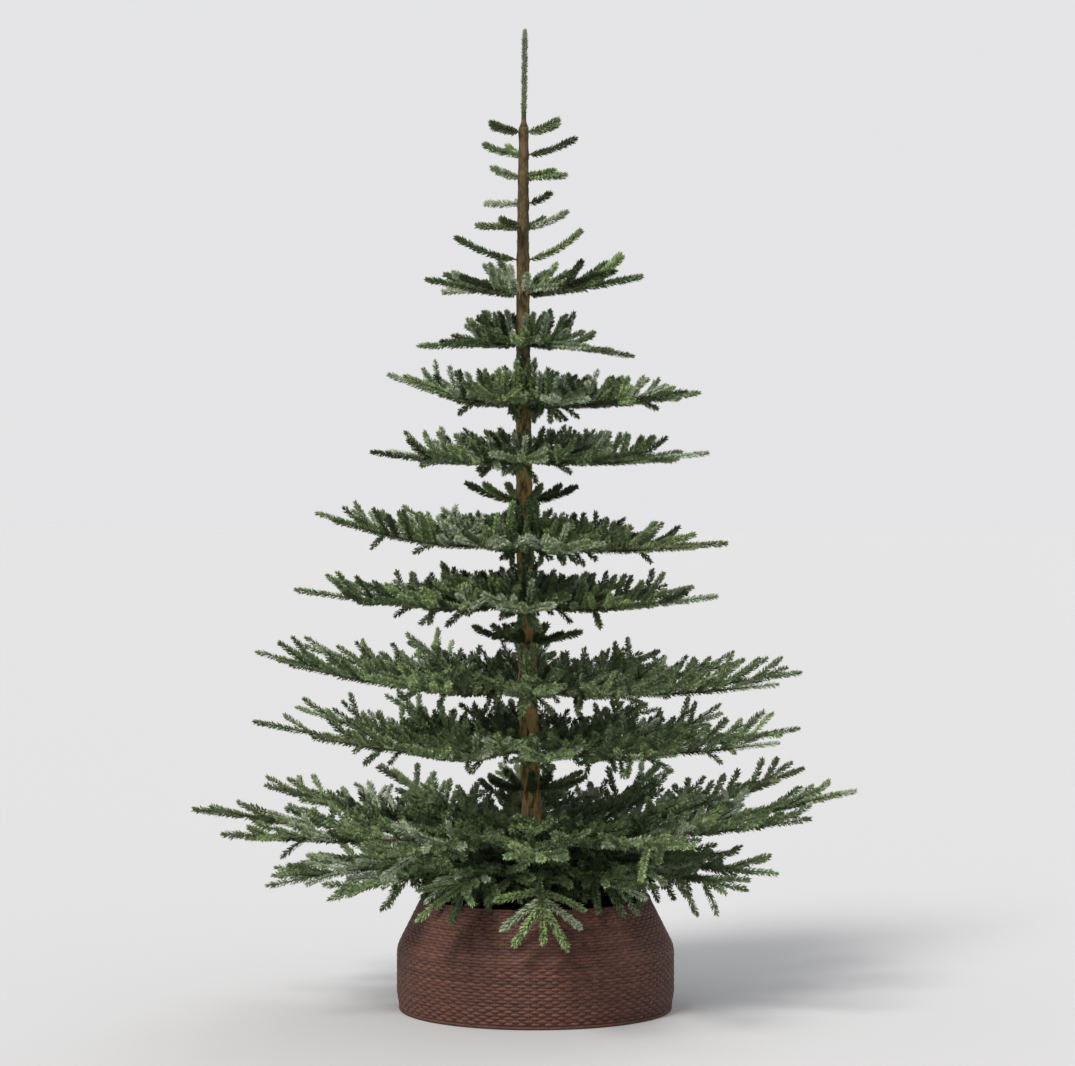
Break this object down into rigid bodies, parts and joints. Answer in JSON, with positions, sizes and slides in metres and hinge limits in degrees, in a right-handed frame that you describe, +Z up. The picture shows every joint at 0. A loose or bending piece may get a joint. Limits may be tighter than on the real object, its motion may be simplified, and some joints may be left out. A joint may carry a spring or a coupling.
{
  "type": "artificial christmas tree",
  "caption": "Slim open fir made for indoors, with level tiers of needle fronds on a leaning pole trunk, a long leader, and a steel stand in a round wicker collar.",
  "frame": {"origin": "middle of the stand's flat underside, on the floor", "axes": "+Z up along the trunk, +X to the right and +Y to the back as the picture shows the tree"},
  "size_m": [1.5524, 1.4988, 2.286],
  "materials": {
    "bark": "moulded bark, dull",
    "needles": "moulded needles, satin",
    "wicker": "stained woven wicker, satin",
    "painted_steel": "dark green paint, satin"
  },
  "bodies": {
    "root": {"bough_18_1": "bark", "bough_18_2": "bark", "bough_18_3": "bark", "bough_18_4": "bark", "bough_19_1": "bark", "bough_19_2": "bark", "bough_19_3": "bark", "bough_19_4": "bark", "collar": "wicker", "leader": "needles", "stand_leg_1": "painted_steel", "stand_leg_2": "painted_steel", "stand_leg_3": "painted_steel", "stand_leg_4": "painted_steel", "stand_socket": "painted_steel", "tier_07_mass_1": "needles", "tier_07_mass_2": "needles", "tier_08_mass_1": "needles", "tier_08_mass_2": "needles", "tier_09_mass_1": "needles", "tier_09_mass_2": "needles", "tier_09_mass_3": "needles", "tier_10_mass_1": "needles", "tier_10_mass_2": "needles", "tier_10_mass_3": "needles", "tier_12_mass_1": "needles", "tier_12_mass_2": "needles", "tier_12_mass_3": "needles", "tier_13_mass_1": "needles", "tier_13_mass_2": "needles", "tier_13_mass_3": "needles", "tier_15_mass_1": "needles", "tier_15_mass_2": "needles", "tier_15_mass_3": "needles", "tier_15_mass_4": "needles", "tier_16_mass_1": "needles", "tier_16_mass_2": "needles", "tier_16_mass_3": "needles", "tier_16_mass_4": "needles", "tier_18_mass_1": "needles", "tier_18_mass_2": "needles", "tier_18_mass_3": "needles", "tier_18_mass_4": "needles", "tier_19_mass_1": "needles", "tier_19_mass_2": "needles", "tier_19_mass_3": "needles", "tier_19_mass_4": "needles", "trunk": "bark", "whorl_01": "needles", "whorl_02": "needles", "whorl_03": "needles", "whorl_04": "needles", "whorl_05": "needles", "whorl_06": "needles", "whorl_11": "needles", "whorl_14": "needles", "whorl_17": "needles"}
  },
  "joints": []
}
